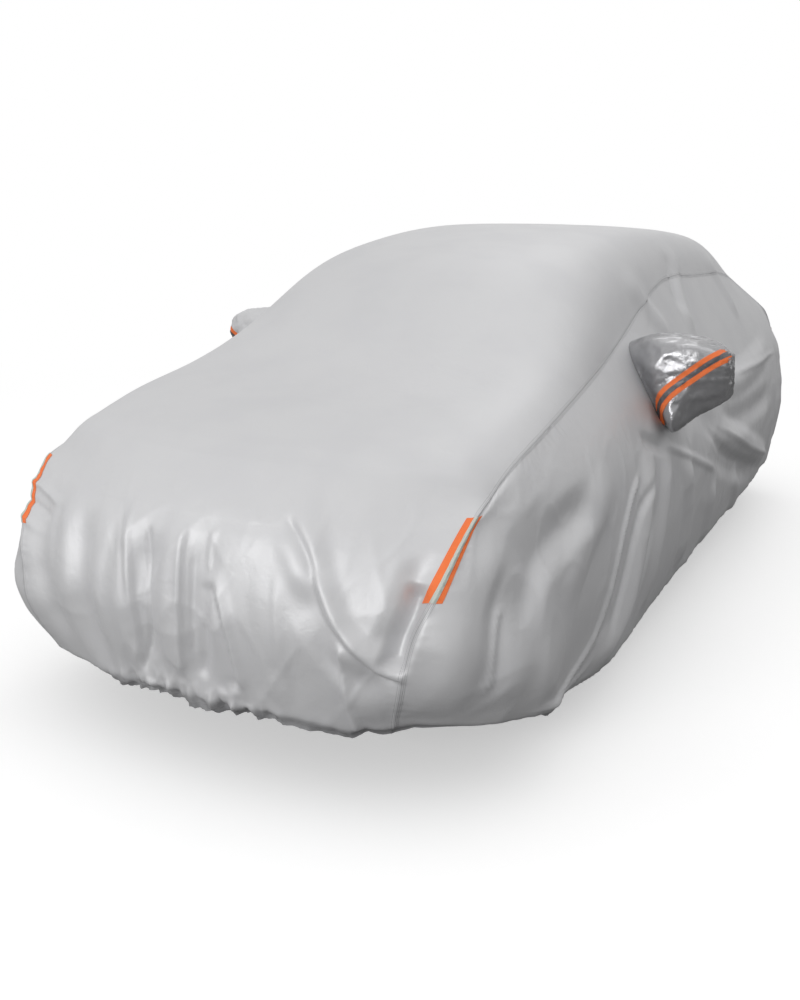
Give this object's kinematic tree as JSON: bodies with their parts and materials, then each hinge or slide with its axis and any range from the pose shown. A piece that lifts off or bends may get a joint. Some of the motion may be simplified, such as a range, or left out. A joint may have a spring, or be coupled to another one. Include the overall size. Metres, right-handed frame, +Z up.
{
  "type": "fitted car cover",
  "caption": "Fitted silver cloth cover for a saloon car, in the shape it takes on the car, with mirror pockets and reflective corner tapes.",
  "frame": {"origin": "the mount roof_rest, on the centre line just under the roof cloth, where the car's roof carries the cover", "axes": "+Z up, +Y towards the rear of the car, +X towards the car's left side"},
  "size_m": [2.0727, 4.599, 1.386],
  "materials": {
    "silver_cloth": "silver coated woven polyester, satin",
    "orange_tape": "fluorescent orange woven tape, matt",
    "silver_strip": "retroreflective silver strip, satin"
  },
  "bodies": {
    "root": {"top_panel": "silver_cloth", "side_panel_left": "silver_cloth", "side_panel_right": "silver_cloth", "mirror_pocket_left": "silver_cloth", "mirror_pocket_right": "silver_cloth", "tape_front_left": "orange_tape", "tape_front_right": "orange_tape", "tape_rear_left": "orange_tape", "tape_rear_right": "orange_tape", "mirror_tape_left": "orange_tape", "mirror_tape_right": "orange_tape", "strip_front_left": "silver_strip", "strip_front_right": "silver_strip", "strip_rear_left": "silver_strip", "strip_rear_right": "silver_strip", "mirror_strip_left": "silver_strip", "mirror_strip_right": "silver_strip"}
  },
  "joints": []
}
